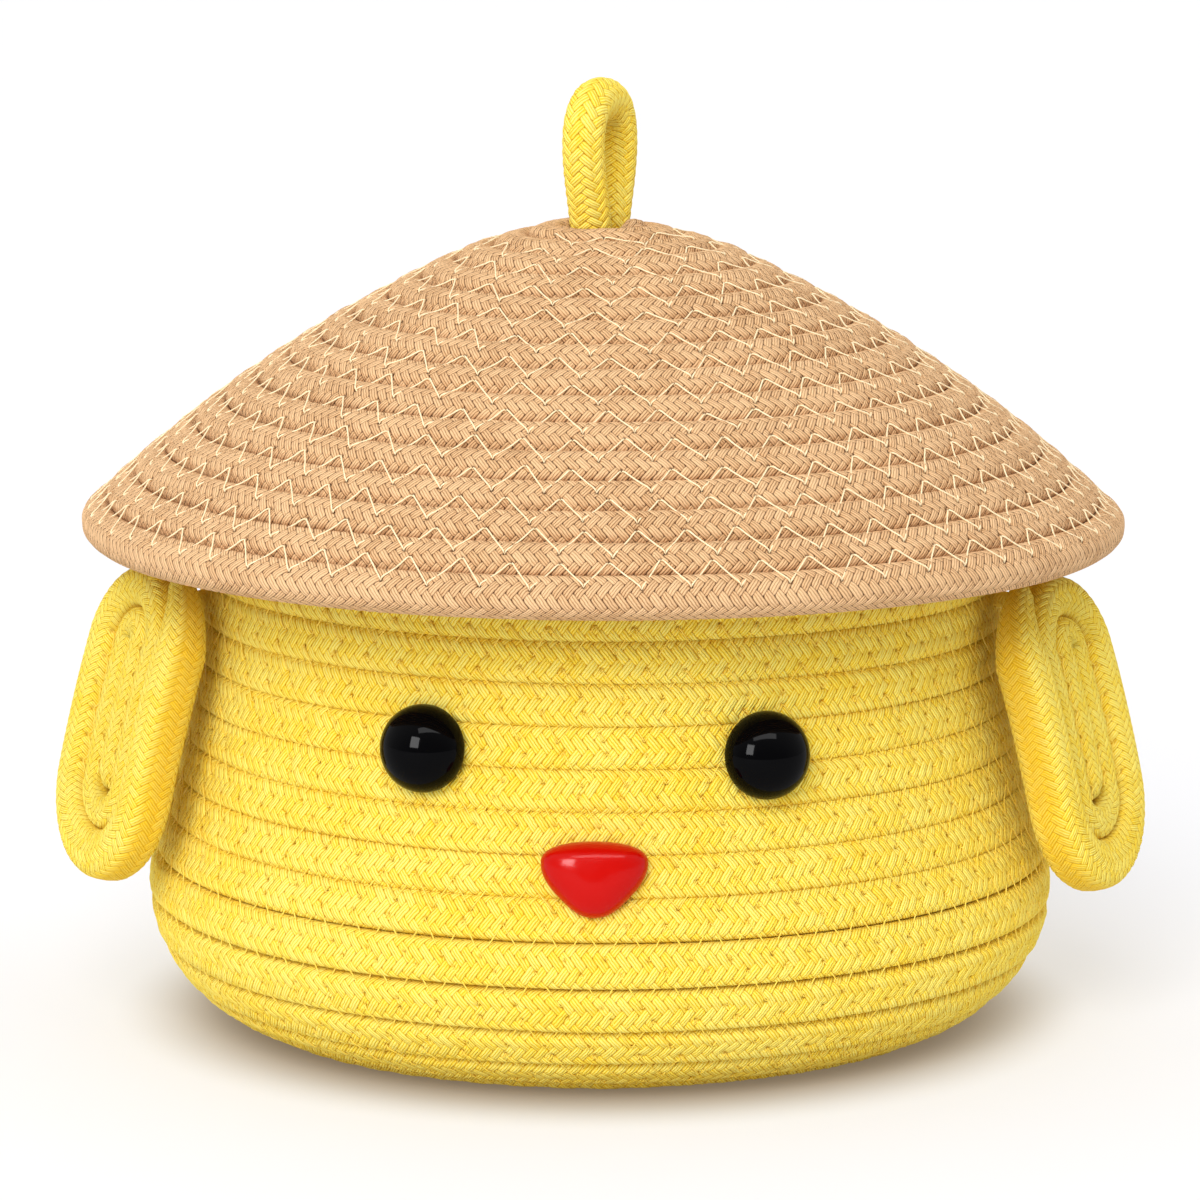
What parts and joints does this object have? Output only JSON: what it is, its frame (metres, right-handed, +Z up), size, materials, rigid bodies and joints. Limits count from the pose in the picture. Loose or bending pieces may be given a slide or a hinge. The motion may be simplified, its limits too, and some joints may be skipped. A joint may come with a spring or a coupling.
{
  "type": "lidded rope storage basket",
  "caption": "Round storage basket coiled from sewn cotton rope, with a face of plastic eyes and nose, two hanging rope wings, and a conical lift-off lid with a rope handle.",
  "frame": {"origin": "middle of the base, on the surface that the basket stands on", "axes": "+Z up along the basket's axis; the face looks to -Y; +X is to the right of someone who looks at the face"},
  "size_m": [0.2616, 0.2508, 0.228],
  "materials": {
    "yellow_rope": "matte braided cotton",
    "tan_rope": "matte braided cotton",
    "yellow_thread": "sewing thread",
    "black_plastic": "polished",
    "red_plastic": "polished",
    "clear_plastic": "moulded, milky"
  },
  "bodies": {
    "basket": {"basket_rope": "yellow_rope", "eye_left": "black_plastic", "eye_right": "black_plastic", "nose": "red_plastic", "eye_left_washer": "clear_plastic", "eye_right_washer": "clear_plastic", "nose_washer": "clear_plastic", "wing_left_tack": "yellow_thread", "wing_right_tack": "yellow_thread"},
    "lid": {"lid_rope": "tan_rope", "handle_loop": "yellow_rope"},
    "wing_left": {"wing_left": "yellow_rope"},
    "wing_right": {"wing_right": "yellow_rope"}
  },
  "joints": [
    {"name": "lid_lift", "type": "slide", "parent": "basket", "child": "lid", "axis": [0, 0, 1], "range_m": [0, 0.06]},
    {"name": "wing_left_swing", "type": "hinge", "parent": "basket", "child": "wing_left", "pos_m": [-0.09704, -0.0251, 0.11062], "axis": [-0.438, 0.899, 0], "range_deg": [0, 40]},
    {"name": "wing_right_swing", "type": "hinge", "parent": "basket", "child": "wing_right", "pos_m": [0.09704, -0.0251, 0.11062], "axis": [-0.438, -0.899, 0], "range_deg": [0, 40]}
  ]
}
